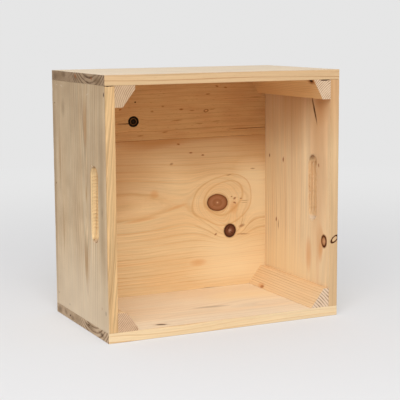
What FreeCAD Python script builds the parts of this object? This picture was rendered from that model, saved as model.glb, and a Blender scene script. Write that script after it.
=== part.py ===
"""Open-fronted pine hive box, standing on one wall with its open side facing -Y.

Four walls are butt jointed and nailed. A back of two boards is let in between them, and a chamfered
batten stiffens each inside corner.
Units are millimetres. The origin is the centre of the underside, and +Z is up.
"""

import FreeCAD
import Part

import os

# Outer size and stock
WIDTH = 460.0
HEIGHT = 460.0
DEPTH = 268.0
THICKNESS = 18.0

# Back, made of two boards, set in from the rear edges of the walls
BACK_RECESS = 4.0
LOWER_BACK_BOARD_HEIGHT = 304.0

# Hand slots, cut by hand, so the two differ a little. The outer edge of each is rounded over:
# side: (width, length, centre's distance from the rim, centre's height)
SLOTS = {
    -1: (34.0, 134.0, 57.0, 234.5),
    1: (27.5, 122.0, 60.0, 236.0),
}
SLOT_ROUNDOVER = 1.5

# Corner battens. Each was sawn by hand, so each has its own section:
# name: (side, level, width along X, height along Z, flat left by the chamfer at the board, and at the wall)
BATTENS = {
    "corner_batten_top_left": (-1, 1, 37.5, 37.0, 7.0, 14.5),
    "corner_batten_top_right": (1, 1, 35.5, 36.0, 1.0, 17.0),
    "corner_batten_bottom_left": (-1, -1, 37.0, 33.5, 5.5, 16.0),
    "corner_batten_bottom_right": (1, -1, 37.0, 35.0, 1.5, 11.0),
}
BATTEN_SETBACK = 0.5

# The left wall's top end is not quite square, which leaves this gap at the rim
END_GAP = 0.7
END_GAP_DEPTH = 12.0

# Lost-head nails, all alike, driven until the head is just under the surface
NAIL_LENGTH = 45.0
NAIL_RADIUS = 1.15
HEAD_RADIUS = 1.7
HEAD_LENGTH = 1.8
TIP_LENGTH = 3.0
NAIL_SUNK = 0.5
WALL_NAILS_FROM_RIM = (31.0, 100.0, 168.0, 236.0)
BACK_NAILS_ALONG_X = (-140.0, 0.0, 140.0)
BACK_NAILS_UP_Z = (40.0, 250.0, 400.0)
BATTEN_NAILS_FROM_RIM = (48.0, 198.0)
BATTEN_NAIL_INSET = 13.0

# Places worked out from the sizes above
HALF_WIDTH = WIDTH / 2
RIM = -DEPTH / 2
REAR = DEPTH / 2
INNER_HALF_WIDTH = HALF_WIDTH - THICKNESS
INNER_BOTTOM = THICKNESS
INNER_TOP = HEIGHT - THICKNESS
BACK_OUTSIDE = REAR - BACK_RECESS
BACK_INSIDE = BACK_OUTSIDE - THICKNESS
BACK_SEAM = INNER_BOTTOM + LOWER_BACK_BOARD_HEIGHT

X_AXIS = FreeCAD.Vector(1, 0, 0)
Z_AXIS = FreeCAD.Vector(0, 0, 1)


def block(low, high):
    """A rectangular board from its lowest corner to its highest."""
    low, high = FreeCAD.Vector(*low), FreeCAD.Vector(*high)
    size = high - low
    return Part.makeBox(size.x, size.y, size.z, low)


def nail_at(surface_point, direction):
    """A nail driven along direction from a point on the wood's surface, and the hole it makes."""
    head_top = surface_point + direction * NAIL_SUNK
    under_head = head_top + direction * HEAD_LENGTH
    shank_length = NAIL_LENGTH - HEAD_LENGTH - TIP_LENGTH
    shank_end = under_head + direction * shank_length
    head = Part.makeCylinder(HEAD_RADIUS, HEAD_LENGTH, head_top, direction)
    shank = Part.makeCylinder(NAIL_RADIUS, shank_length, under_head, direction)
    tip = Part.makeCone(NAIL_RADIUS, 0, TIP_LENGTH, shank_end, direction)
    nail = head.fuse([shank, tip]).removeSplitter()
    dimple = Part.makeCylinder(HEAD_RADIUS, NAIL_SUNK, surface_point, direction)
    return nail, nail.fuse(dimple).removeSplitter()


def vertical_nails(points_xy):
    """Nails driven down through the top wall and up through the bottom wall at each X, Y."""
    made = []
    for x, y in points_xy:
        made.append(nail_at(FreeCAD.Vector(x, y, HEIGHT), -Z_AXIS))
        made.append(nail_at(FreeCAD.Vector(x, y, 0), Z_AXIS))
    return made


def wall_nails():
    """Nails through the top and bottom walls into the ends of the side walls."""
    joint_x = HALF_WIDTH - THICKNESS / 2
    return vertical_nails(
        (side * joint_x, RIM + from_rim)
        for side in (-1, 1)
        for from_rim in WALL_NAILS_FROM_RIM
    )


def back_nails():
    """Nails through all four walls into the edges of the back boards."""
    y = (BACK_INSIDE + BACK_OUTSIDE) / 2
    made = vertical_nails((x, y) for x in BACK_NAILS_ALONG_X)
    for side in (-1, 1):
        for z in BACK_NAILS_UP_Z:
            made.append(nail_at(FreeCAD.Vector(side * HALF_WIDTH, y, z), X_AXIS * -side))
    return made


def batten_nails():
    """Nails through the top and bottom walls into the corner battens."""
    batten_x = INNER_HALF_WIDTH - BATTEN_NAIL_INSET
    return vertical_nails(
        (side * batten_x, RIM + from_rim)
        for side in (-1, 1)
        for from_rim in BATTEN_NAILS_FROM_RIM
    )


def hand_slot(side):
    """The round-ended slot through a side wall, standing upright."""
    width, length, from_rim, height = SLOTS[side]
    radius = width / 2
    straight_half = length / 2 - radius
    low_z, high_z = height - straight_half, height + straight_half
    y = RIM + from_rim
    low_x = INNER_HALF_WIDTH if side > 0 else -HALF_WIDTH
    ends = [
        Part.makeCylinder(radius, THICKNESS, FreeCAD.Vector(low_x, y, z), X_AXIS)
        for z in (low_z, high_z)
    ]
    middle = block((low_x, y - radius, low_z), (low_x + THICKNESS, y + radius, high_z))
    return middle.fuse(ends).removeSplitter()


def round_over_slot(wall, side):
    """The wall with the outer edge of its slot rounded over. Only the slot has edges inside that face."""
    outer_x = side * HALF_WIDTH
    edges = []
    for edge in wall.Edges:
        span = edge.BoundBox
        on_outer_face = max(abs(span.XMin - outer_x), abs(span.XMax - outer_x)) < 1e-6
        within_face = span.YMin > RIM and span.YMax < REAR
        if on_outer_face and within_face:
            edges.append(edge)
    return wall.makeFillet(SLOT_ROUNDOVER, edges)


def end_gap(low_x, high_x):
    """The thin wedge missing from the top end of the left wall, deepest at the rim."""
    corners = [
        FreeCAD.Vector(low_x, RIM, INNER_TOP),
        FreeCAD.Vector(low_x, RIM, INNER_TOP - END_GAP),
        FreeCAD.Vector(low_x, RIM + END_GAP_DEPTH, INNER_TOP),
    ]
    face = Part.Face(Part.makePolygon(corners + corners[:1]))
    return face.extrude(FreeCAD.Vector(high_x - low_x, 0, 0))


def side_wall(side):
    """A side wall, which stands between the top and bottom walls and has a hand slot."""
    outer_x, inner_x = side * HALF_WIDTH, side * INNER_HALF_WIDTH
    low_x, high_x = min(outer_x, inner_x), max(outer_x, inner_x)
    wall = block((low_x, RIM, INNER_BOTTOM), (high_x, REAR, INNER_TOP))
    wall = round_over_slot(wall.cut(hand_slot(side)), side)
    if side < 0:
        wall = wall.cut(end_gap(low_x, high_x))
    return wall


def corner_batten(side, level, width, height, board_flat, wall_flat):
    """A square batten with its inner corner sawn off, from the rim to the back boards."""
    wall_x = side * INNER_HALF_WIDTH
    board_z = INNER_TOP if level > 0 else INNER_BOTTOM
    section = [
        (0, 0),
        (width, 0),
        (width, board_flat),
        (wall_flat, height),
        (0, height),
    ]
    front = RIM + BATTEN_SETBACK
    corners = [
        FreeCAD.Vector(wall_x - side * across, front, board_z - level * down)
        for across, down in section
    ]
    face = Part.Face(Part.makePolygon(corners + corners[:1]))
    return face.extrude(FreeCAD.Vector(0, BACK_INSIDE - front, 0))


def wooden_pieces():
    """Every board and batten, before the nails are driven."""
    pieces = {
        "top_wall": block((-HALF_WIDTH, RIM, INNER_TOP), (HALF_WIDTH, REAR, HEIGHT)),
        "bottom_wall": block((-HALF_WIDTH, RIM, 0), (HALF_WIDTH, REAR, INNER_BOTTOM)),
        "left_wall": side_wall(-1),
        "right_wall": side_wall(1),
        "back_board_lower": block(
            (-INNER_HALF_WIDTH, BACK_INSIDE, INNER_BOTTOM),
            (INNER_HALF_WIDTH, BACK_OUTSIDE, BACK_SEAM),
        ),
        "back_board_upper": block(
            (-INNER_HALF_WIDTH, BACK_INSIDE, BACK_SEAM),
            (INNER_HALF_WIDTH, BACK_OUTSIDE, INNER_TOP),
        ),
    }
    for name, section in BATTENS.items():
        pieces[name] = corner_batten(*section)
    return pieces


def drive(pieces, nail_groups):
    """Makes each nail's hole in every piece of wood that it goes through."""
    holes = [hole for group in nail_groups.values() for _, hole in group]
    for name, wood in pieces.items():
        through = [h for h in holes if h.BoundBox.intersect(wood.BoundBox)]
        pieces[name] = wood.cut(through) if through else wood


def main():
    os.makedirs("parts", exist_ok=True)
    pieces = wooden_pieces()
    nail_groups = {
        "wall_nails": wall_nails(),
        "back_nails": back_nails(),
        "batten_nails": batten_nails(),
    }
    drive(pieces, nail_groups)
    for name, group in nail_groups.items():
        pieces[name] = Part.makeCompound([nail for nail, _ in group])
    for name, shape in pieces.items():
        shape.exportStep(f"parts/{name}.step")
        print(name, len(shape.Solids), "solids", round(shape.Volume), "mm3", shape.isValid())


main()
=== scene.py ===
"""Looks of an open-fronted pine box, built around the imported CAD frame.

Mesh code is in metres. Materials measure the wood in millimetres in the same frame, so the tables of
looks and marks below do too.
"""

import math

import bmesh
import bpy
from mathutils import Matrix, Vector, noise


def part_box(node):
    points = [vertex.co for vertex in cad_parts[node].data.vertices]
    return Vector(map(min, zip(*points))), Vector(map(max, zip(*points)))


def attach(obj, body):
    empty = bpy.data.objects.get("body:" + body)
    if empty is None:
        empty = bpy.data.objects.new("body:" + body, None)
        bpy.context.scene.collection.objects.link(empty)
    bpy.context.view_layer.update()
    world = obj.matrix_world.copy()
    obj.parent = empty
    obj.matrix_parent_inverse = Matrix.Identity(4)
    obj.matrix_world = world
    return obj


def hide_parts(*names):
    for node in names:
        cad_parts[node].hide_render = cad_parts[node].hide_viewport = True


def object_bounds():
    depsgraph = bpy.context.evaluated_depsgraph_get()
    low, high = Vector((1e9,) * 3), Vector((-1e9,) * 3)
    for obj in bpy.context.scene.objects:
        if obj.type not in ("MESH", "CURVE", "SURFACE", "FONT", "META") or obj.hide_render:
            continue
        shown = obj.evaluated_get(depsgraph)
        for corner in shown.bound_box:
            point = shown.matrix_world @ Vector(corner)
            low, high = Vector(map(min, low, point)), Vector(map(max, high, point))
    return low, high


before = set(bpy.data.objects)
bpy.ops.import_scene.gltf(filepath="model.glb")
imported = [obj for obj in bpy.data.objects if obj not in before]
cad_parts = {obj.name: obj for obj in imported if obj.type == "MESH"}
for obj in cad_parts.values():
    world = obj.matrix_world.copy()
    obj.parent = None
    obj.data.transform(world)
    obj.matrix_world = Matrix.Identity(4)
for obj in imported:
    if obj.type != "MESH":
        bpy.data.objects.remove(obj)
cad_low, cad_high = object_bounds()

MM = 0.001
OUT = {"left": Vector((-1, 0, 0)), "right": Vector((1, 0, 0)), "front": Vector((0, -1, 0))}

# Faces that the marks lie on, in millimetres
BACK_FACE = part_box("back_board_lower")[0].y / MM
LEFT_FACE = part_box("left_wall")[0].x / MM
RIGHT_INNER_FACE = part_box("right_wall")[0].x / MM
BOTTOM_INNER_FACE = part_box("bottom_wall")[1].z / MM
TOP_INNER_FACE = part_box("top_wall")[0].z / MM
RIM = cad_low.y / MM

# Mesh detail
ARRIS = 0.45 * MM
ARRIS_WEAR = 0.3 * MM
SHORTEST_ARRIS = 1.5 * MM
WEAR_STEP = 9 * MM
SHARP_ANGLE = math.radians(30)

# Camera
CAMERA_PLACE = (-0.9523, -1.9876, 0.5431)
CAMERA_HEADING = math.radians(25.84)
CAMERA_DOWN = math.radians(8.42)
CAMERA_ROLL = math.radians(-0.32)
CAMERA_LENS = 107.0


# ---------------------------------------------------------------- shader building

def srgb(red, green, blue):
    """A linear colour from display values out of 255."""
    def linear(value):
        value /= 255
        return value / 12.92 if value <= 0.04045 else ((value + 0.055) / 1.055) ** 2.4
    return (linear(red), linear(green), linear(blue), 1.0)


class Graph:
    """The node tree of one new material."""

    def __init__(self, name):
        self.material = bpy.data.materials.new(name)
        self.material.use_nodes = True
        self.tree = self.material.node_tree
        self.shader = self.tree.nodes["Principled BSDF"]

    def put(self, socket, value):
        """Links a socket to another, or sets it to a plain value."""
        if isinstance(value, bpy.types.NodeSocket):
            self.tree.links.new(value, socket)
        else:
            socket.default_value = value

    def node(self, kind, *inputs, **settings):
        made = self.tree.nodes.new("ShaderNode" + kind)
        for setting, value in settings.items():
            setattr(made, setting, value)
        for socket, value in zip(made.inputs, inputs):
            self.put(socket, value)
        return made

    def math(self, operation, *inputs):
        return self.node("Math", *inputs, operation=operation).outputs[0]

    def vector(self, operation, *inputs):
        made = self.node("VectorMath", *inputs, operation=operation)
        return made.outputs["Value" if operation in ("LENGTH", "DOT_PRODUCT") else "Vector"]

    def span(self, value, low, high, to_low=0.0, to_high=1.0):
        """The value carried smoothly from one range to another, and held at its ends."""
        made = self.node("MapRange", value, low, high, to_low, to_high, interpolation_type="SMOOTHSTEP")
        return made.outputs[0]

    def mix(self, share, first, second, blend="MIX"):
        made = self.node("Mix", data_type="RGBA", blend_type=blend)
        for place, value in ((0, share), (6, first), (7, second)):
            self.put(made.inputs[place], value)
        return made.outputs[2]

    def noise(self, place, detail=2.0, roughness=0.5, output="Fac"):
        made = self.node("TexNoise", place)
        self.put(made.inputs["Scale"], 1.0)
        self.put(made.inputs["Detail"], detail)
        self.put(made.inputs["Roughness"], roughness)
        return made.outputs[output]

    def ramp(self, value, stops):
        """Colour and cover from stops of (place, display colour, cover)."""
        made = self.node("ValToRGB", value)
        elements = made.color_ramp.elements
        while len(elements) < len(stops):
            elements.new(0.5)
        for element, (place, colour, cover) in zip(elements, stops):
            element.position = place
            element.color = srgb(*colour)[:3] + (cover,)
        return made.outputs["Color"], made.outputs["Alpha"]

    def distance(self, place, centre, radii, turn=(0, 0, 0)):
        """How far a place is from a turned ellipsoid's centre, where 1 is its surface."""
        made = self.node("Mapping", place, centre, turn, radii, vector_type="TEXTURE")
        return self.vector("LENGTH", made.outputs[0])


# ---------------------------------------------------------------- marks in the wood, and painted light and shade

# Each style: how deep it dents the surface in millimetres, and its stops from the centre out
STYLES = {
    "black_knot": (0.10, [
        (0.00, (50, 32, 17), 1), (0.16, (36, 22, 11), 1), (0.26, (7, 4, 2), 1), (0.44, (7, 4, 2), 1),
        (0.52, (104, 68, 36), 1), (0.57, (100, 66, 34), 1), (0.66, (7, 4, 2), 1), (0.92, (9, 5, 3), 1),
        (1.00, (92, 58, 30), 0),
    ]),
    "brown_knot": (0.10, [
        (0.00, (232, 196, 158), 1), (0.06, (190, 138, 98), 1), (0.11, (164, 110, 76), 1),
        (0.30, (154, 100, 66), 1), (0.45, (170, 116, 80), 1), (0.62, (158, 104, 70), 1),
        (0.72, (134, 82, 50), 1), (0.78, (90, 50, 28), 1), (0.82, (188, 130, 78), 0.45),
        (1.00, (214, 152, 94), 0),
    ]),
    "dark_knot": (0.15, [
        (0.00, (196, 158, 136), 1), (0.16, (150, 106, 84), 1), (0.34, (116, 70, 50), 1),
        (0.60, (98, 56, 38), 1), (0.74, (64, 33, 21), 1), (0.80, (70, 38, 24), 0.9),
        (0.86, (170, 112, 66), 0.4), (1.00, (205, 146, 90), 0),
    ]),
    "bark_ring": (0.20, [
        (0.00, (190, 130, 84), 0.6), (0.40, (172, 110, 66), 0.8), (0.56, (92, 42, 18), 1),
        (0.76, (72, 32, 14), 1), (0.86, (150, 92, 50), 0.5), (1.00, (190, 130, 78), 0),
    ]),
    "bark_outline": (0.20, [
        (0.00, (240, 206, 160), 0), (0.45, (224, 176, 122), 0.1), (0.60, (84, 44, 22), 1),
        (0.88, (60, 30, 14), 1), (1.00, (150, 94, 52), 0),
    ]),
    "eye": (0.05, [
        (0.00, (190, 124, 70), 0.1), (0.45, (180, 112, 60), 0.2), (0.62, (116, 62, 26), 0.9),
        (0.78, (124, 68, 30), 0.7), (1.00, (160, 96, 48), 0),
    ]),
    "hole": (0.30, [(0.00, (34, 15, 5), 1), (0.55, (58, 29, 12), 0.95), (1.00, (128, 74, 34), 0)]),
    # One speck also helps paint the shadow under the top end of the right slot.
    "speck_and_painted_shadow": (0.05, [(0.00, (136, 70, 28), 0.9), (0.45, (146, 78, 34), 0.75), (1.00, (180, 108, 54), 0)]),
    "streak": (0.03, [(0.00, (140, 76, 32), 0.7), (0.50, (150, 86, 38), 0.5), (1.00, (176, 108, 54), 0)]),
    "stain": (0.00, [
        (0.00, (218, 148, 84), 0.5), (0.50, (218, 148, 84), 0.35), (1.00, (218, 148, 84), 0),
    ]),
    # shade is painted shade, where the box's own walls and battens shade its inside.
    "shade": (0.00, [
        (0.00, (182, 120, 64), 0.75), (0.45, (182, 120, 64), 0.45), (1.00, (182, 120, 64), 0),
    ]),
    # warmth is a softer, warmer painted shade.
    "painted_warm_shade": (0.00, [
        (0.00, (196, 138, 82), 0.4), (0.50, (196, 138, 82), 0.33), (1.00, (196, 138, 82), 0),
    ]),
    # grime also paints shade over the upper part of the left face.
    "grime_and_painted_shade": (0.00, [
        (0.00, (132, 106, 78), 0.5), (0.50, (132, 106, 78), 0.28), (1.00, (132, 106, 78), 0),
    ]),
    "grain": (0.00, [
        (0.00, (166, 122, 74), 0.75), (0.50, (168, 126, 78), 0.45), (1.00, (170, 128, 82), 0),
    ]),
    "halo": (0.00, [
        (0.00, (214, 156, 92), 0), (0.54, (214, 156, 92), 0), (0.60, (208, 148, 82), 0.5),
        (0.66, (214, 156, 92), 0.05), (0.91, (214, 156, 92), 0.05), (0.97, (208, 146, 80), 0.5),
        (1.00, (214, 156, 92), 0),
    ]),
    # soot also paints the shadow under the top end of the right slot.
    "soot_and_painted_shadow": (0.00, [(0.00, (88, 66, 46), 0.55), (0.60, (98, 74, 52), 0.35), (1.00, (110, 84, 60), 0)]),
    # pale is painted light, where the light falls most brightly.
    "pale": (0.00, [
        (0.00, (250, 226, 184), 0.75), (0.50, (250, 226, 184), 0.5), (1.00, (250, 226, 184), 0),
    ]),
    # scratch also paints light, over the lower part of the left face and at the foot of the right slot.
    "scratch_and_painted_light": (0.03, [
        (0.00, (232, 214, 188), 0.75), (0.60, (226, 206, 178), 0.5), (1.00, (226, 206, 178), 0),
    ]),
}

# Marks with a wavy outline. It moves them off their face, so they go through the wood
WAVY_STYLES = ("halo", "pale", "shade")
OUTLINE_WAVE = 40.0
OUTLINE_ROUGHNESS = 1.6

# How far a mark reaches into the wood: all the way, just under its face, or through the wall it is on
THROUGH = 400.0
SURFACE = 3.0
WITHIN_WALL = 20.0


def on_back(style, x, z, width, height, turn=0, depth=SURFACE):
    """A mark on the back's inner face. Turn is in degrees, and lifts its right end."""
    return style, (x, BACK_FACE, z), (width, depth, height), (0, -math.radians(turn), 0)


def on_right(style, y, z, width, height, turn=0, depth=SURFACE):
    """A mark on the right wall's inner face. Turn lifts its rear end."""
    return style, (RIGHT_INNER_FACE, y, z), (depth, width, height), (math.radians(turn), 0, 0)


def on_left(style, y, z, width, height, turn=0, depth=SURFACE):
    """A mark on the left wall's outer face. Turn lifts its rear end."""
    return style, (LEFT_FACE, y, z), (depth, width, height), (math.radians(turn), 0, 0)


def on_bottom(style, x, y, width, length, turn=0, depth=SURFACE):
    """A mark on the bottom wall's inner face. Turn swings its right end back."""
    return style, (x, y, BOTTOM_INNER_FACE), (width, length, depth), (0, 0, math.radians(turn))


def on_end(style, y, z, width, height, turn=0):
    """A mark on the left end of the top or bottom wall."""
    return on_left(style, y, z, width, height, turn, depth=6.0)


MARKS = {
    "back_board_upper": [
        on_back("black_knot", -76, 359, 11.6, 11.0, depth=THROUGH),
        on_back("hole", -92, 355.3, 9, 1.3),
        on_back("streak", -102, 355.6, 14, 1.5),
        on_back("hole", -72, 396, 2.2, 2.0),
        on_back("eye", 79, 374.5, 6.5, 3.6, 8),
        on_back("streak", 92, 377, 9, 1.2, 6),
        on_back("streak", 16, 358, 15, 1.7, 4),
        on_back("streak", -10, 336, 8, 1.8, 6),
        on_back("streak", -62, 331, 9, 1.6, 0),
        on_back("streak", 64, 350, 11, 1.2, 0),
        on_back("streak", 101, 353, 11, 1.3, 3),
        on_back("speck_and_painted_shadow", 83, 407, 6, 1.8, 3),
        on_back("speck_and_painted_shadow", 103, 422, 5, 1.8, -10),
        on_back("speck_and_painted_shadow", 122, 419, 5, 2.0, -4),
        on_back("speck_and_painted_shadow", 25, 379, 6, 2.2),
        on_back("streak", 48, 376, 7, 1.6),
        on_back("streak", -37, 377, 4, 2.4),
        on_back("streak", -14, 386, 4, 2.2),
        on_back("speck_and_painted_shadow", -103, 383, 4, 2.0, 20),
        on_back("streak", 165, 336.5, 52, 1.4),
        on_back("streak", 150, 430, 30, 1.0),
        on_back("streak", 190, 398, 16, 1.2),
    ],
    "back_board_lower": [
        # Painted shade: under the top wall, just below the seam, and on the left, where the left wall
        # shades the back.
        on_back("shade", 20, 332, 520, 90, depth=THROUGH),
        on_back("shade", 40, 324, 420, 18, depth=THROUGH),
        on_back("shade", -170, 240, 170, 90, depth=THROUGH),
        # Painted light on the lower right and the right of the back, where the light falls most.
        on_back("pale", 150, 66, 120, 60, depth=THROUGH),
        on_back("pale", 190, 220, 60, 70, depth=THROUGH),
        on_back("streak", -110, 321.4, 110, 1.3),
        on_back("stain", 140, 178, 12, 17),
        on_back("stain", -34, 216, 11, 10),
        on_back("stain", 14, 187, 26, 4, 14),
        on_back("stain", -62, 167, 44, 4, 6),
        on_back("stain", 60, 72, 22, 9),
        on_back("halo", 111, 193, 66, 54, depth=THROUGH),
        on_back("brown_knot", 103, 190, 29, 21.5, -6, THROUGH),
        on_back("streak", 94, 184, 8, 0.7, 40),
        on_back("streak", 112, 196, 8, 0.7, 35),
        on_back("dark_knot", 131, 131, 16.5, 17, 0, THROUGH),
        on_back("hole", 128, 136, 8, 0.9, 60),
        on_back("hole", 135, 127, 7, 0.8, -35),
        on_back("streak", 158, 122, 20, 1.6, -3),
        on_back("speck_and_painted_shadow", 99, 126, 4, 2.6, 30),
        on_back("speck_and_painted_shadow", 135, 200, 2.6, 1.6),
        on_back("speck_and_painted_shadow", 142, 196, 4.5, 3, 25),
        on_back("speck_and_painted_shadow", 156, 195, 3.4, 1.6),
        on_back("speck_and_painted_shadow", 142, 187, 4.5, 2.2, -20),
        on_back("streak", 165, 190, 12, 0.9),
        on_back("streak", 164, 186, 10, 0.8),
        on_back("speck_and_painted_shadow", 18, 311, 5, 2.2, -8),
        on_back("speck_and_painted_shadow", 45, 293, 5, 2.0, 4),
        on_back("speck_and_painted_shadow", 71, 287, 4.4, 2.2),
        on_back("streak", 3, 273, 5, 3, 20),
        on_back("streak", 129, 244, 7, 1.4, 8),
        on_back("streak", 158, 139, 9, 4, 15),
        on_back("streak", 183, 254, 7, 1.6),
    ],
    "right_wall": [
        ("bark_ring", (RIGHT_INNER_FACE, -115, 139), (THROUGH, 12, 15), (0, 0, 0)),
        ("bark_outline", (223.5, RIM, 145.5), (11.5, 12, 6), (0, -math.radians(40), 0)),
        # Painted shade: under the top wall, beside the slot towards the front, and under the top right
        # batten.
        on_right("shade", -2, 440, 250, 150, depth=THROUGH),
        on_right("painted_warm_shade", -92, 300, 40, 210, depth=THROUGH),
        on_right("shade", -108, 428, 34, 70, depth=THROUGH),
        # Painted light low down on the wall, where the light falls most.
        on_right("pale", 10, 60, 110, 90, depth=THROUGH),
        on_right("stain", -103, 118, 9, 26),
        on_right("hole", -77, 383, 3.2, 32, -21, 12),
        # Painted shadow under the top end of the slot, on its rear side.
        on_right("soot_and_painted_shadow", -74, 289, 15, 12, depth=WITHIN_WALL),
        on_right("soot_and_painted_shadow", -72, 290, 13, 10, depth=WITHIN_WALL),
        on_right("speck_and_painted_shadow", -71, 293, 6, 5, depth=WITHIN_WALL),
        # Painted light on the foot of the slot.
        on_right("scratch_and_painted_light", -69, 178, 11, 9, depth=WITHIN_WALL),
        ("streak", (RIGHT_INNER_FACE + 1.8, -60, 232), (0.7, 6, 52), (0, 0, 0)),
        ("streak", (RIGHT_INNER_FACE + 5.0, -60, 222), (0.7, 6, 42), (0, 0, 0)),
        ("streak", (RIGHT_INNER_FACE + 8.5, -60, 240), (0.6, 6, 34), (0, 0, 0)),
        on_right("speck_and_painted_shadow", 39, 278, 3.4, 7),
        on_right("speck_and_painted_shadow", 94, 281, 3.0, 5),
        on_right("speck_and_painted_shadow", 66, 155, 3.4, 6, 10),
        on_right("streak", 57, 146, 2.4, 12),
        on_right("speck_and_painted_shadow", -94, 280, 2.4, 5, -10),
        on_right("stain", -60, 105, 13, 40),
    ],
    "left_wall": [
        ("hole", (LEFT_FACE + 9, RIM, TOP_INNER_FACE), (13, 16, 1.7), (0, 0, 0)),
        on_left("grime_and_painted_shade", -113, 225, 5, 13),
        on_left("grime_and_painted_shade", -112, 240, 18, 240),
        on_left("hole", 61, 29, 3.2, 2.6),
        on_left("hole", -123, 51, 3.0, 5),
        on_left("speck_and_painted_shadow", -105, 56, 3.0, 4),
        on_left("hole", -129, 427, 2.8, 5),
        on_left("scratch_and_painted_light", 83, 433, 9, 1.5, 14),
        on_left("scratch_and_painted_light", -51, 424, 8, 1.4, -16),
        on_left("scratch_and_painted_light", 108, 434, 5, 1.3, 8),
        on_left("grime_and_painted_shade", 76, 393, 12, 20),
        # A darker strip down the rear edge.
        on_left("grime_and_painted_shade", 127, 225, 9, THROUGH),
        # Painted shade over the upper part of the outer face.
        on_left("grime_and_painted_shade", 20, 500, 260, 330),
        # Painted light over the lower part of the outer face, from the floor.
        on_left("scratch_and_painted_light", 0, -40, 250, 220),
        on_left("grain", -37, 366, 9, 46),
        on_left("grain", -41, 388, 2.4, 56, -3),
        on_left("grain", -32, 388, 2.4, 56, 3),
        on_left("grain", -33, 122, 9, 44),
        on_left("grain", -37, 146, 2.4, 58, -3),
        on_left("grain", -28, 146, 2.4, 58, 3),
        on_left("grain", -38, 249, 5, 22),
        on_left("grain", 98, 300, 4, 70),
        on_left("grain", 84, 170, 3, 60),
    ],
    "bottom_wall": [
        on_bottom("hole", -123, -115, 12, 4.6, -14),
        on_bottom("grime_and_painted_shade", -123, -115, 20, 8, -14),
        on_bottom("grime_and_painted_shade", 17, -36, 46, 9, -6),
        # Painted light on the right of the inner face.
        ("pale", (120, 20, BOTTOM_INNER_FACE), (130, 50, THROUGH), (0, 0, 0)),
        on_end("soot_and_painted_shadow", 118, 8, 14, 8),
        on_end("soot_and_painted_shadow", 84, 10, 10, 6, 20),
        on_end("soot_and_painted_shadow", 48, 6, 12, 5),
        on_end("soot_and_painted_shadow", -36, 11, 26, 5, 4),
        on_end("soot_and_painted_shadow", -100, 9, 18, 5, 12),
        on_end("hole", 60, 8, 4, 2.2, -20),
        on_end("hole", -37, 12, 7, 1.6),
        on_end("hole", -102, 9, 2.6, 5),
        on_end("grime_and_painted_shade", 20, 9, 26, 12),
        on_end("grime_and_painted_shade", -52, 9, 24, 12),
    ],
    "top_wall": [
        on_end("soot_and_painted_shadow", 112, 450, 16, 9),
        on_end("soot_and_painted_shadow", 70, 454, 14, 6),
        on_end("soot_and_painted_shadow", 8, 450, 17, 7, 10),
        on_end("soot_and_painted_shadow", -42, 455, 12, 5),
        on_end("soot_and_painted_shadow", -100, 449, 20, 7),
        on_end("grime_and_painted_shade", 86, 451, 27, 14),
        on_end("speck_and_painted_shadow", 7, 453, 7, 4, 30),
        on_end("grime_and_painted_shade", -5, 450, 24, 12),
        on_end("speck_and_painted_shadow", -72, 452, 3, 4),
        on_end("grime_and_painted_shade", -100, 450, 26, 14),
    ],
    "corner_batten_top_right": [
        ("speck_and_painted_shadow", (179, RIM + 13, TOP_INNER_FACE - 3), (7, 15, 8), (0, 0, 0)),
        ("hole", (178, RIM + 12, TOP_INNER_FACE - 2), (3.5, 8, 4), (0, 0, 0)),
        ("hole", (199, RIM, TOP_INNER_FACE - 0.6), (13, 6, 2.4), (0, 0, 0)),
    ],
    "corner_batten_bottom_right": [
        ("speck_and_painted_shadow", (176, 60, 22), (5, 9, 5), (0, 0, 0)),
        ("stain", (176, 66, 24), (8, 16, 8), (0, 0, 0)),
    ],
}


# ---------------------------------------------------------------- materials

AXES = "XYZ"


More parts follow.
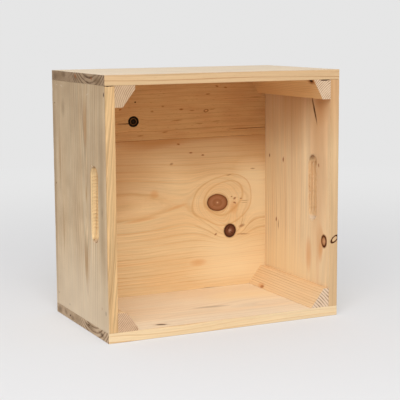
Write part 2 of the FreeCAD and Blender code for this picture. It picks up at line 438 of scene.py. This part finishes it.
def pine(name, grain, heart, **look):
    """Solid pine, grown round a heart line that runs along the grain past the point heart.

    rings and tighten give the rings per millimetre at the distance depth from the heart, and how fast
    that rises. start, taper and luck move the rings: by a share of a ring, along the grain, and in which
    of them are strong. bends are places where a knot pushes them aside: (centre, radii, rings moved).
    patch is the length and thickness of the broad patches. faintest is how clear rings are at the least.
    """
    rings, tighten = look.get("rings", 0.06), look.get("tighten", 0.0006)
    depth, start = look.get("depth", 60.0), look.get("start", 0.0)
    seed = look.get("seed", 0.0)
    graph = Graph(name)
    axis = AXES.index(grain)
    coordinates = graph.node("TexCoord").outputs["Object"]
    place = graph.vector("MULTIPLY", coordinates, (1000, 1000, 1000))
    own = graph.vector("ADD", place, (seed * 211.0, seed * 97.0, seed * 389.0))
    along = graph.node("SeparateXYZ", place).outputs[axis]

    def stretched(length, thickness):
        """The place measured in cells that are longer along the grain."""
        cell = [1 / thickness] * 3
        cell[axis] = 1 / length
        return graph.vector("MULTIPLY", own, cell)

    # Distance from the heart line, which wanders, and rings counted out from it
    sway = graph.vector("SUBTRACT", graph.noise(stretched(300, 150), 1.0, output="Color"), (0.5, 0.5, 0.5))
    bent = graph.vector("MULTIPLY_ADD", sway, [look.get("wander", 14.0)] * 3, place)
    across = [1.0, 1.0, 1.0]
    across[axis] = 0.0
    offset = graph.vector("MULTIPLY", graph.vector("SUBTRACT", bent, heart), across)
    ripple = graph.math("SUBTRACT", graph.noise(stretched(70, 11)), 0.5)
    beyond = graph.math("SUBTRACT", graph.vector("LENGTH", offset), depth)
    beyond = graph.math("MULTIPLY_ADD", ripple, look.get("ripple", 2.0), beyond)
    rate = graph.math("MULTIPLY_ADD", beyond, tighten, rings)
    phase = graph.math("MULTIPLY_ADD", beyond, rate, start)
    phase = graph.math("MULTIPLY_ADD", along, look.get("taper", 0.0), phase)
    for centre, radii, strength in look.get("bends", ()):
        near = graph.distance(place, centre, radii)
        fall = graph.math("EXPONENT", graph.math("MULTIPLY", graph.math("MULTIPLY", near, near), -1.0))
        phase = graph.math("MULTIPLY_ADD", fall, -strength, phase)

    # Each ring darkens towards its late wood and then ends sharply, some rings more than others
    part = graph.math("FRACT", phase)
    own_ring = graph.math("ADD", graph.math("FLOOR", phase), seed * 17.0 + 0.5)
    own_ring = graph.math("ADD", own_ring, look.get("luck", 0.0))
    vigour = graph.node("TexWhiteNoise", own_ring, noise_dimensions="1D")
    graph.put(vigour.inputs["W"], own_ring)
    strength = graph.math("POWER", vigour.outputs["Value"], 1.5)
    strength = graph.math("MULTIPLY_ADD", strength, 0.7, 0.3)
    band = graph.math("MULTIPLY", graph.span(part, 0.74, 0.94), graph.span(part, 0.96, 1.0, 1.0, 0.0))
    sawn_band = graph.math("MULTIPLY", graph.span(part, 0.4, 0.8), graph.span(part, 0.88, 1.0, 1.0, 0.0))
    late = graph.math("MULTIPLY", band, strength)
    clearness = graph.span(graph.noise(stretched(190, 34), 1.0), 0.35, 0.65, look.get("faintest", 0.6), 1.0)
    late = graph.math("MULTIPLY", late, clearness)

    # Long streaks that follow the rings, fine fibres, broad patches and short flecks
    along_ring = graph.node("CombineXYZ", graph.math("MULTIPLY", phase, 7.0),
                            graph.math("MULTIPLY", along, 1 / 240), seed)
    streaks = graph.noise(along_ring.outputs[0])
    fibres = graph.noise(stretched(38, 0.6), 3.0, 0.6)
    patches = graph.noise(stretched(*look.get("patch", (210, 48))), 1.0)
    flecks = graph.span(graph.noise(stretched(9, 1.1)), 0.62, 0.74)

    normal = graph.node("NewGeometry").outputs["Normal"]
    rim = graph.span(graph.vector("DOT_PRODUCT", place, OUT["front"]), -RIM - 0.9, -RIM - 0.3)
    line_cover = graph.span(rim, 0.0, 1.0, look.get("contrast", 0.8), look.get("rim_contrast", 0.8))
    colour = graph.mix(graph.math("MULTIPLY", late, line_cover), look["early"], look["late"])
    colour = graph.mix(graph.span(patches, 0.35, 0.7, 0.0, 0.45), colour, look["blush"])
    streak, fibre = look.get("streaks", 0.07), look.get("fibre", 0.06)
    shade = graph.span(streaks, 0.25, 0.75, 1.0 - streak, 1.0 + streak)
    fibre_shade = graph.span(fibres, 0.25, 0.75, 1.0 - fibre, 1.0 + fibre)
    shade = graph.math("MULTIPLY", shade, fibre_shade)
    colour = graph.vector("MULTIPLY", colour, graph.node("CombineXYZ", shade, shade, shade).outputs[0])
    fleck_cover = graph.math("MULTIPLY", flecks, look.get("flecks", 0.15))
    colour = graph.mix(fleck_cover, colour, look["late"])

    grain_way = [0.0, 0.0, 0.0]
    grain_way[axis] = 1.0
    facing = graph.math("ABSOLUTE", graph.vector("DOT_PRODUCT", normal, grain_way))
    end = graph.span(facing, 0.55, 0.9)
    colour = end_grain(graph, colour, end, own, sawn_band, look)
    if "outside" in look:
        colour = graph.mix(rim, colour, graph.mix(1.0, colour, look["rim"], "MULTIPLY"))
        forwards = graph.span(graph.vector("DOT_PRODUCT", normal, OUT["front"]), 0.3, 0.8)
        cut_face = graph.math("MULTIPLY", forwards, graph.math("SUBTRACT", 1.0, rim))
        colour = graph.mix(cut_face, colour, graph.mix(1.0, colour, look["cut"], "MULTIPLY"))
        colour = outer_grey_and_sheen(graph, colour, place, look, own)

    # Marks, with their outlines broken up a little
    broken = graph.vector("SUBTRACT", graph.noise(stretched(6, 3), output="Color"), (0.5, 0.5, 0.5))
    marked = graph.vector("MULTIPLY_ADD", broken, [OUTLINE_ROUGHNESS] * 3, place)
    waves = graph.vector("SUBTRACT", graph.noise(stretched(90, 60), 0.0, output="Color"), (0.5, 0.5, 0.5))
    waved = graph.vector("MULTIPLY_ADD", waves, [OUTLINE_WAVE] * 3, marked)
    height = graph.math("MULTIPLY_ADD", late, 0.05, graph.math("MULTIPLY", fibres, 0.05))
    for style, centre, radii, turn in look.get("marks", ()):
        dent, stops = STYLES[style]
        outline = waved if style in WAVY_STYLES else marked
        tint, cover = graph.ramp(graph.distance(outline, centre, radii, turn), stops)
        colour = graph.mix(cover, colour, tint)
        if dent:
            height = graph.math("MULTIPLY_ADD", cover, -dent, height)

    roughness = graph.math("MULTIPLY_ADD", fibres, 0.16, 0.46)
    roughness = graph.math("MULTIPLY_ADD", late, -0.06, roughness)
    roughness = graph.math("MULTIPLY_ADD", end, 0.22, roughness)
    pores = graph.math("MULTIPLY", graph.noise(graph.vector("MULTIPLY", own, (1.4, 1.4, 1.4))), end)
    height = graph.math("MULTIPLY_ADD", pores, 0.15, height)
    bump = graph.node("Bump")
    graph.put(bump.inputs["Strength"], 0.6)
    graph.put(bump.inputs["Distance"], MM)
    graph.put(bump.inputs["Height"], height)
    graph.put(graph.shader.inputs["Base Color"], colour)
    graph.put(graph.shader.inputs["Roughness"], roughness)
    graph.put(graph.shader.inputs["Normal"], bump.outputs["Normal"])
    graph.put(graph.shader.inputs["Specular IOR Level"], 0.12)
    graph.put(graph.shader.inputs["Specular Tint"], srgb(255, 206, 160))
    return graph.material


def end_grain(graph, colour, end, own, band, look):
    """The colour on sawn ends, which are darker and a little grey, with clear rings and open pores."""
    pores = graph.span(graph.noise(graph.vector("MULTIPLY", own, (1.1, 1.1, 1.1)), 3.0), 0.3, 0.75)
    uneven = graph.noise(graph.vector("MULTIPLY", own, (1 / 16, 1 / 16, 1 / 16)), 2.0)
    ringed = graph.math("MULTIPLY", band, graph.span(uneven, 0.35, 0.65, 0.5, 1.0))
    sawn = graph.mix(ringed, look["end"], look["end_ring"])
    sawn = graph.mix(graph.math("MULTIPLY", pores, 0.25), sawn, look["end_ring"])
    return graph.mix(end, colour, sawn)


def outer_grey_and_sheen(graph, colour, place, look, own):
    """Greys the face that looks outwards, unevenly, but not fresh cuts in it. On the top wall this is a
    painted pale sheen of light.
    """
    height = graph.vector("DOT_PRODUCT", place, look["outside"])
    facing = graph.span(height, look["reach"] - 0.9, look["reach"] - 0.3)
    unevenness = graph.noise(graph.vector("MULTIPLY", own, (1 / 70, 1 / 70, 1 / 70)), 3.0)
    greyed = graph.mix(0.25, graph.mix(1.0, colour, look["outer_tint_and_sheen"], "MULTIPLY"), look["outer_colour_and_sheen"])
    cover = graph.math("MULTIPLY", facing, graph.span(unevenness, 0.25, 0.75, 0.6, 1.0))
    return graph.mix(cover, colour, greyed)


def steel():
    """Dull nail steel with a brown bloom of rust."""
    graph = Graph("nail_steel_rusted")
    coordinates = graph.node("TexCoord").outputs["Object"]
    bloom = graph.noise(graph.vector("MULTIPLY", coordinates, (900, 900, 900)), 3.0)
    colour = graph.mix(graph.span(bloom, 0.35, 0.65), srgb(122, 104, 86), srgb(96, 62, 38))
    graph.put(graph.shader.inputs["Base Color"], colour)
    graph.put(graph.shader.inputs["Roughness"], graph.span(bloom, 0.3, 0.7, 0.42, 0.8))
    graph.put(graph.shader.inputs["Metallic"], 0.55)
    bump = graph.node("Bump")
    graph.put(bump.inputs["Strength"], 0.4)
    graph.put(bump.inputs["Distance"], 0.2 * MM)
    graph.put(bump.inputs["Height"], bloom)
    graph.put(graph.shader.inputs["Normal"], bump.outputs["Normal"])
    return graph.material


# Pine's colours. rim, cut and the outer tints multiply the wood's colour, on the front rim, on cuts that
# face forwards and on the outer face. The top wall's outer tints are a painted pale sheen of light.
FRESH = {
    "early": srgb(240, 218, 182), "late": srgb(204, 144, 82), "blush": srgb(238, 206, 162),
    "end": srgb(206, 180, 150), "end_ring": srgb(122, 92, 66),
    "rim": srgb(224, 210, 196), "cut": srgb(236, 216, 196),
    "outer_tint_and_sheen": srgb(214, 206, 200), "outer_colour_and_sheen": srgb(166, 140, 110),
}
GOLDEN = dict(FRESH, early=srgb(236, 204, 157), late=srgb(200, 132, 62), blush=srgb(232, 188, 134))
# The ruddy colours are partly the wood's own darker tone and partly painted shade, for the board under the
# top wall.
RUDDY_AND_PAINTED_SHADE = dict(FRESH, early=srgb(206, 157, 104), late=srgb(156, 96, 50), blush=srgb(194, 136, 86))
BATTEN = dict(FRESH, early=srgb(238, 208, 166), late=srgb(168, 108, 58), blush=srgb(232, 190, 140),
              end=srgb(222, 194, 164), end_ring=srgb(150, 118, 90), wander=6, tighten=0, contrast=1.0,
              faintest=0.8)

LOOKS = {
    "back_board_lower": dict(
        GOLDEN, grain="X", heart=(0, BACK_FACE + 60, 193), tighten=0.00045, wander=8, ripple=4.0, start=0.2,
        seed=1.0, luck=5.0, contrast=0.75, patch=(160, 30), faintest=0.35,
        bends=[
            ((-110, BACK_FACE, 193), (120, THROUGH, THROUGH), 0.62),
            ((106, BACK_FACE, 190), (38, THROUGH, 46), 4.0),
            ((131, BACK_FACE, 131), (35, THROUGH, 28), 2.6),
        ]),
    "back_board_upper": dict(
        RUDDY_AND_PAINTED_SHADE, grain="X", heart=(0, BACK_FACE + 60, 150), rings=0.05, tighten=0.0002, seed=2.0,
        contrast=0.6, ripple=5.0, flecks=0.5, patch=(60, 14),
        bends=[((-76, BACK_FACE, 359), (22, THROUGH, 14), 0.8)]),
    "left_wall": dict(
        FRESH, grain="Z", heart=(LEFT_FACE - 25, -35, 0), depth=25.0, rings=0.08, tighten=0.0006,
        taper=-1 / 243, start=0.33, seed=3.0, wander=9, contrast=1.0, rim_contrast=0.55,
        outside=OUT["left"], late=srgb(180, 118, 66), streaks=0.2, fibre=0.12, patch=(600, 15),
        faintest=0.8, rim=srgb(222, 203, 179), cut=srgb(248, 238, 218)),
    "right_wall": dict(
        FRESH, grain="Z", heart=(RIGHT_INNER_FACE - 60, -95, 0), rings=0.022, tighten=0.0002, seed=4.0,
        contrast=0.5, streaks=0.1, outside=OUT["right"], patch=(700, 26), faintest=0.3,
        bends=[((RIGHT_INNER_FACE, -115, 139), (THROUGH, 12, 30), 0.1)]),
    # Its paler rim tint is painted light, on the front edge that the floor lights.
    "bottom_wall": dict(
        FRESH, grain="X", heart=(0, -60, BOTTOM_INNER_FACE + 70), depth=70, rings=0.12, tighten=0.0004,
        early=srgb(244, 226, 199), blush=srgb(240, 211, 173), seed=5.0, contrast=0.3, rim_contrast=0.9,
        wander=30, outside=Vector((0, 0, -1)), patch=(260, 40), rim=srgb(245, 236, 218)),
    # The top wall's outer tints paint a pale sheen of light on its top face.
    "top_wall": dict(
        FRESH, grain="X", heart=(0, -60, TOP_INNER_FACE + 90), rings=0.07, tighten=0.0009, seed=6.0,
        blush=srgb(240, 213, 178), rim=srgb(221, 206, 190),
        late=srgb(176, 116, 60), faintest=0.7,
        contrast=0.6, rim_contrast=1.0, outside=Vector((0, 0, 1)), outer_tint_and_sheen=srgb(247, 248, 254),
        # Its darker end colours are painted shade, for the top of the box's left side.
        outer_colour_and_sheen=srgb(222, 210, 196), end=srgb(172, 146, 118), end_ring=srgb(84, 60, 40)),
    "corner_batten_top_left": dict(
        BATTEN, grain="Y", heart=(-120, 0, 390), rings=0.3, seed=7.0, end=srgb(200, 170, 138)),
    # Its darker, warmer colours are painted shade, for the batten's shaded underside.
    "corner_batten_top_right": dict(
        BATTEN, grain="Y", heart=(260, 0, 360), rings=0.28, seed=8.0, early=srgb(222, 178, 126),
        blush=srgb(212, 160, 106)),
    "corner_batten_bottom_left": dict(
        BATTEN, grain="Y", heart=(-290, 0, 110), rings=0.3, seed=9.0, end=srgb(214, 179, 146)),
    "corner_batten_bottom_right": dict(
        BATTEN, grain="Y", heart=(120, 0, -40), rings=0.2, seed=10.0, end=srgb(232, 206, 178)),
}


# ---------------------------------------------------------------- mesh building

def link(name, mesh):
    """A new object in the scene that shows the mesh."""
    piece = bpy.data.objects.new(name, mesh)
    bpy.context.scene.collection.objects.link(piece)
    return piece


def from_bmesh(name, bm):
    bmesh.ops.recalc_face_normals(bm, faces=bm.faces)
    mesh = bpy.data.meshes.new(name)
    bm.to_mesh(mesh)
    bm.free()
    return link(name, mesh)


def shade_smooth(piece):
    """Smooth shading with crisp edges, which flat faces keep flat."""
    bm = bmesh.new()
    bm.from_mesh(piece.data)
    for face in bm.faces:
        face.smooth = True
    for edge in bm.edges:
        edge.smooth = len(edge.link_faces) == 2 and edge.calc_face_angle() < SHARP_ANGLE
    bm.to_mesh(piece.data)
    bm.free()
    weighted = piece.modifiers.new("weighted normals", "WEIGHTED_NORMAL")
    weighted.keep_sharp = True


def cut(piece, cutters):
    """Takes each cutter out of the piece and throws the cutter away."""
    for cutter in cutters:
        boolean = piece.modifiers.new("cut", "BOOLEAN")
        boolean.operation = "DIFFERENCE"
        boolean.solver = "EXACT"
        boolean.object = cutter
    shown = piece.evaluated_get(bpy.context.evaluated_depsgraph_get())
    mesh = bpy.data.meshes.new_from_object(shown)
    if len(mesh.polygons) < len(piece.data.polygons):
        raise RuntimeError("cutting " + piece.name + " lost some of its faces")
    piece.modifiers.clear()
    piece.data = mesh
    for cutter in cutters:
        bpy.data.objects.remove(cutter)


def slit(start, end, out, widest, depth, opens=False, steps=14):
    """A cutter for a crack, a thin V-shaped blade along a line on a face, given in millimetres.

    It is pointed at both ends, or only at its end if it opens at its start.
    """
    start, end = Vector(start) * MM, Vector(end) * MM
    side = (end - start).cross(out).normalized()
    proud = out * 1 * MM
    bm = bmesh.new()
    rows = []
    for step in range(steps + 1):
        along = step / steps
        share = math.cos(along * math.pi / 2) if opens else math.sin(along * math.pi)
        share = max(share, 0.04) ** 0.8
        centre = start.lerp(end, along) + side * noise.noise(Vector((along * 5, depth, widest))) * 0.5 * MM
        half = side * widest * MM / 2 * share
        bottom = centre - out * depth * MM * share
        rows.append([bm.verts.new(p) for p in (centre + half + proud, centre - half + proud, bottom)])
    for before, after in zip(rows, rows[1:]):
        for one, two in ((0, 1), (1, 2), (2, 0)):
            bm.faces.new((before[one], before[two], after[two], after[one]))
    bm.faces.new(rows[0])
    bm.faces.new(rows[-1])
    return from_bmesh("slit", bm)


def ring_groove(centre, out, radius, width, depth, steps=48):
    """A round groove cutter, given in millimetres, for the dry bark round a loose knot."""
    centre = Vector(centre) * MM
    turn = out.to_track_quat("Z", "Y").to_matrix()
    section = ((width / 2, 1), (-width / 2, 1), (-width / 4, -depth), (width / 4, -depth))
    bm = bmesh.new()
    rings = []
    for step in range(steps):
        angle = step / steps * 2 * math.pi
        way = turn @ Vector((math.cos(angle), math.sin(angle), 0))
        wobble = radius * (1 + 0.03 * math.sin(3 * angle))
        rings.append([bm.verts.new(centre + way * (wobble + r) * MM + out * h * MM) for r, h in section])
    for before, after in zip(rings, rings[1:] + rings[:1]):
        for one, two in ((0, 1), (1, 2), (2, 3), (3, 0)):
            bm.faces.new((before[one], before[two], after[two], after[one]))
    return from_bmesh("groove", bm)


def chip(centre, radii):
    """A small rough hollow, given in millimetres."""
    bm = bmesh.new()
    bmesh.ops.create_icosphere(bm, subdivisions=2, radius=1.0)
    for vert in bm.verts:
        vert.co *= 1 + 0.3 * noise.noise(vert.co * 1.7 + Vector(centre))
        vert.co = Vector(a * b + c for a, b, c in zip(vert.co, radii, centre)) * MM
    return from_bmesh("chip", bm)


def board(node):
    """A copy of a CAD board with softened, slightly worn arrises."""
    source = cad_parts[node].data
    bm = bmesh.new()
    bm.from_mesh(source)
    bmesh.ops.remove_doubles(bm, verts=bm.verts, dist=0.01 * MM)
    bmesh.ops.dissolve_limit(bm, angle_limit=math.radians(0.5), verts=bm.verts, edges=bm.edges)
    arrises = [e for e in bm.edges if len(e.link_faces) == 2
               and e.calc_face_angle() > SHARP_ANGLE and e.calc_length() > SHORTEST_ARRIS]
    worn = set(arrises)
    for edge in arrises:
        cuts = int(edge.calc_length() / WEAR_STEP)
        if cuts:
            parts = bmesh.ops.bisect_edges(bm, edges=[edge], cuts=cuts)
            worn.update(g for g in parts["geom_split"] if isinstance(g, bmesh.types.BMEdge))
    softened = bmesh.ops.bevel(bm, geom=list(worn), offset=ARRIS, offset_type="OFFSET", segments=2,
                               profile=0.5, affect="EDGES", clamp_overlap=True)
    bm.normal_update()
    for vert in softened["verts"]:
        wear = max(0.0, noise.noise(vert.co * 60)) + max(0.0, noise.noise(vert.co * 17) - 0.2)
        vert.co -= vert.normal * wear * ARRIS_WEAR
    mesh = bpy.data.meshes.new(node)
    bm.to_mesh(mesh)
    bm.free()
    return link(node + "_wood", mesh)


def batten_section(node):
    """The corners of a CAD batten's front end, in order round it."""
    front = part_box(node)[0].y
    corners = {(round(v.co.x, 5), round(v.co.z, 5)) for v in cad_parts[node].data.vertices
               if v.co.y < front + 0.01 * MM}
    corners = [Vector((x, 0, z)) for x, z in corners]
    middle = sum(corners, Vector()) / len(corners)
    return sorted(corners, key=lambda c: math.atan2(c.z - middle.z, c.x - middle.x))


def rounded(before, corner, after, radius, steps=4):
    """Points of a curve that rounds off a corner."""
    enter = corner + (before - corner).normalized() * radius
    leave = corner + (after - corner).normalized() * radius
    return [enter.lerp(corner, t / steps).lerp(corner.lerp(leave, t / steps), t / steps)
            for t in range(steps + 1)]


def batten(node, chamfer_rounding, ridge_height=0.0, ridge_length=75 * MM, ridge_pitch=4.2 * MM):
    """A batten with a sawn chamfer, rounded where the chamfer meets its sides.

    Saw ridges run back from its front end and die out over about ridge_length.
    """
    corners = batten_section(node)
    low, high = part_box(node)
    outline = []
    chamfer = []
    for at, corner in enumerate(corners):
        before, after = corners[at - 1], corners[(at + 1) % len(corners)]
        slopes = [abs((side - corner).x) > MM / 10 and abs((side - corner).z) > MM / 10
                  for side in (before, after)]
        room = min((before - corner).length, (after - corner).length) * 0.45
        radius = min(chamfer_rounding if any(slopes) else 0.6 * MM, room)
        outline += rounded(before, corner, after, radius)
        if slopes[1]:
            first, last = outline[-1], after + (corner - after).normalized() * radius
            steps = 26
            middle = [first.lerp(last, step / steps) for step in range(1, steps)]
            chamfer = [len(outline) - 1, len(outline) + len(middle)]
            outline += middle
    inward = sum(corners, Vector()) / len(corners)
    edge = outline[chamfer[1] % len(outline)] - outline[chamfer[0]]
    into = Vector((edge.z, 0, -edge.x)).normalized()
    if into.dot(inward - outline[chamfer[0]]) < 0:
        into = -into
    stations = int((high.y - low.y) / (4 * MM))
    bm = bmesh.new()
    rows = []
    for station in range(stations + 1):
        y = low.y + (high.y - low.y) * station / stations
        row = []
        for at, point in enumerate(outline):
            place = Vector((point.x, y, point.z))
            if chamfer[0] < at < chamfer[1]:
                share = (at - chamfer[0]) / (chamfer[1] - chamfer[0])
                edge_fade = math.sin(share * math.pi) ** 0.5
                saw = 0.35 * MM * abs(noise.noise(place * 40))
                reach = ridge_length * (0.7 + 0.6 * abs(noise.noise(place * 90)))
                fade = max(0.0, 1 - (y - low.y) / reach)
                wave = math.sin(share * edge.length / ridge_pitch * 2 * math.pi)
                ridge = ridge_height * fade * (0.5 + 0.5 * wave)
                place += into * (saw + ridge) * edge_fade
            row.append(bm.verts.new(place))
        rows.append(row)
    for before, after in zip(rows, rows[1:]):
        for at in range(len(outline)):
            bm.faces.new((before[at - 1], before[at], after[at], after[at - 1]))
    bm.faces.new(rows[0])
    bm.faces.new(rows[-1])
    return from_bmesh(node + "_wood", bm)


# ---------------------------------------------------------------- the wood

def torn_slot_side(inner_x):
    """Overlapping hollows down the rear side of the right slot, for its torn grain."""
    hollows = []
    for z in range(192, 286, 8):
        for depth in (0, 7, 14):
            place = (inner_x + depth, -59.8 + 0.8 * math.sin(z * 3.1 + depth), z)
            hollows.append(chip(place, (3.0, 2.0, 7.0 + 3.0 * math.sin(z))))
    return hollows


def rippled_slot_side(middle_x):
    """Shallow hollows down the rear side of the left slot, where the tool left ripples."""
    return [
        chip((middle_x, -59.7 + 0.2 * math.sin(z * 2.3), z), (6.6, 0.9, 2.6))
        for z in range(190, 284, 6)
    ]


def make_pieces():
    """Every wooden piece with its cracks and chips, by the CAD node that it stands for."""
    pieces = {node: board(node) for node in ("top_wall", "bottom_wall", "left_wall", "right_wall",
                                             "back_board_lower", "back_board_upper")}
    pieces["corner_batten_top_left"] = batten("corner_batten_top_left", 1.8 * MM)
    pieces["corner_batten_top_right"] = batten("corner_batten_top_right", 1.0 * MM)
    pieces["corner_batten_bottom_left"] = batten("corner_batten_bottom_left", 6.0 * MM)
    pieces["corner_batten_bottom_right"] = batten("corner_batten_bottom_right", 0.9 * MM, 0.9 * MM)
    front, inwards = OUT["front"], OUT["left"]
    back, right = BACK_FACE, RIGHT_INNER_FACE
    cut(pieces["right_wall"], [
        slit((right, -66, 411), (right, -88, 351), inwards, 4.8, 11, opens=True),
        chip((right, -74, 292), (1.6, 7.0, 5.0)),
        chip((right, -74, 174), (1.6, 9.0, 3.0)),
        chip((right, -68, 170), (1.0, 3.0, 2.5)),
    ] + torn_slot_side(right))
    cut(pieces["back_board_upper"], [
        slit((213, back, 336.5), (118, back, 335), front, 1.1, 4, opens=True),
        slit((-84, back, 355), (-114, back, 355.6), front, 1.4, 4, opens=True),
        ring_groove((-76, back, 359), front, 8.8, 1.0, 2.5),
        chip((-72, back, 396), (1.0, 1.0, 1.0)),
    ])
    cut(pieces["back_board_lower"], [
        slit((64, back, BOTTOM_INNER_FACE), (106, back, BOTTOM_INNER_FACE), front, 2.2, 6),
        slit((146, back, 122.3), (176, back, 120), front, 0.7, 2, opens=True),
    ])
    cut(pieces["left_wall"], [
        chip((LEFT_FACE, -66, 301), (1.2, 4.0, 2.0)),
    ] + rippled_slot_side(LEFT_FACE + 7.9))
    cut(pieces["corner_batten_top_right"], [
        slit((193, RIM + 0.5, TOP_INNER_FACE), (213, RIM + 0.5, TOP_INNER_FACE), front, 2.0, 14),
    ])
    return pieces


for node, piece in make_pieces().items():
    shade_smooth(piece)
    look = dict(LOOKS[node], marks=MARKS.get(node, ()))
    if "outside" in look:
        look["reach"] = max(corner.dot(look["outside"]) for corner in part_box(node)) / MM
    piece.data.materials.clear()
    piece.data.materials.append(pine(node + "_pine", **look))
    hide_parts(node)
    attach(piece, "root")

nail_material = steel()
for node in ("wall_nails", "back_nails", "batten_nails"):
    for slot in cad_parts[node].material_slots:
        slot.material = nail_material


# ---------------------------------------------------------------- stage, light and camera

FLOOR_REACH = 3.0
WALL_RADIUS = 1.5
WALL_HEIGHT = 4.0


def studio():
    """A pale bowl: flat floor, then a curve up into walls on every side."""
    profile = [(r, 0.0) for r in (0.0, 0.5, 1.0, 1.5, 2.0, 2.5, FLOOR_REACH)]
    profile += [(FLOOR_REACH + WALL_RADIUS * math.sin(a), WALL_RADIUS * (1 - math.cos(a)))
                for a in (math.radians(7.5 * step) for step in range(1, 13))]
    profile.append((FLOOR_REACH + WALL_RADIUS, WALL_HEIGHT))
    turns = 96
    bm = bmesh.new()
    rings = [[bm.verts.new((r * math.cos(a), r * math.sin(a), z))
              for a in (2 * math.pi * turn / turns for turn in range(turns))] for r, z in profile[1:]]
    bm.faces.new(rings[0])
    for inner, outer in zip(rings, rings[1:]):
        for turn in range(turns):
            bm.faces.new((inner[turn - 1], inner[turn], outer[turn], outer[turn - 1]))
    bowl = from_bmesh("studio", bm)
    bowl.location.z = -0.2 * MM
    for face in bowl.data.polygons:
        face.use_smooth = True
    graph = Graph("studio_paper")
    place = graph.node("TexCoord").outputs["Object"]
    flat = graph.vector("LENGTH", graph.vector("MULTIPLY", place, (1, 1, 0)))
    tone = graph.mix(graph.span(flat, 0.4, 2.0), srgb(228, 228, 230), srgb(234, 234, 234))
    graph.put(graph.shader.inputs["Base Color"], tone)
    graph.put(graph.shader.inputs["Roughness"], 0.9)
    graph.put(graph.shader.inputs["Specular IOR Level"], 0.1)
    glow = graph.node("Emission", (1.0, 1.0, 1.0, 1.0), graph.span(flat, 0.5, 2.6, 0.92, 0.79))
    share = graph.span(flat, 0.6, 2.4, 0.3, 1.0)
    blend = graph.node("MixShader", share, graph.shader.outputs[0], glow.outputs[0])
    output = next(n for n in graph.tree.nodes if n.type == "OUTPUT_MATERIAL")
    graph.put(output.inputs["Surface"], blend.outputs[0])
    bowl.data.materials.append(graph.material)


def softbox(name, heading, height, reach, width, strength, colour):
    """A square light aimed at the box's middle. Strength is what a white card facing it would show."""
    data = bpy.data.lights.new(name, "AREA")
    data.shape = "SQUARE"
    data.size = width
    data.energy = strength * math.pi ** 2 * reach ** 2
    data.color = colour
    light = bpy.data.objects.new(name, data)
    bpy.context.scene.collection.objects.link(light)
    aim = (cad_low + cad_high) / 2
    level = math.cos(height)
    way = Vector((math.sin(heading) * level, -math.cos(heading) * level, math.sin(height)))
    light.location = aim + way * reach
    light.rotation_euler = way.to_track_quat("Z", "Y").to_euler()
    light.visible_camera = False


studio()
softbox("key", math.radians(-27), math.radians(44), 3.2, 2.2, 0.66, (1.0, 0.995, 0.985))

world = bpy.data.worlds.new("studio_world")
world.use_nodes = True
world.node_tree.nodes["Background"].inputs["Color"].default_value = (1.0, 1.0, 1.0, 1.0)
world.node_tree.nodes["Background"].inputs["Strength"].default_value = 0.38
bpy.context.scene.world = world
bpy.context.scene.view_settings.view_transform = "Standard"

camera_data = bpy.data.cameras.new("camera")
camera_data.lens = CAMERA_LENS
camera = bpy.data.objects.new("camera", camera_data)
bpy.context.scene.collection.objects.link(camera)
turn = (Matrix.Rotation(-CAMERA_HEADING, 4, "Z") @ Matrix.Rotation(math.pi / 2 - CAMERA_DOWN, 4, "X")
        @ Matrix.Rotation(CAMERA_ROLL, 4, "Z"))
camera.matrix_world = Matrix.Translation(CAMERA_PLACE) @ turn
bpy.context.scene.camera = camera
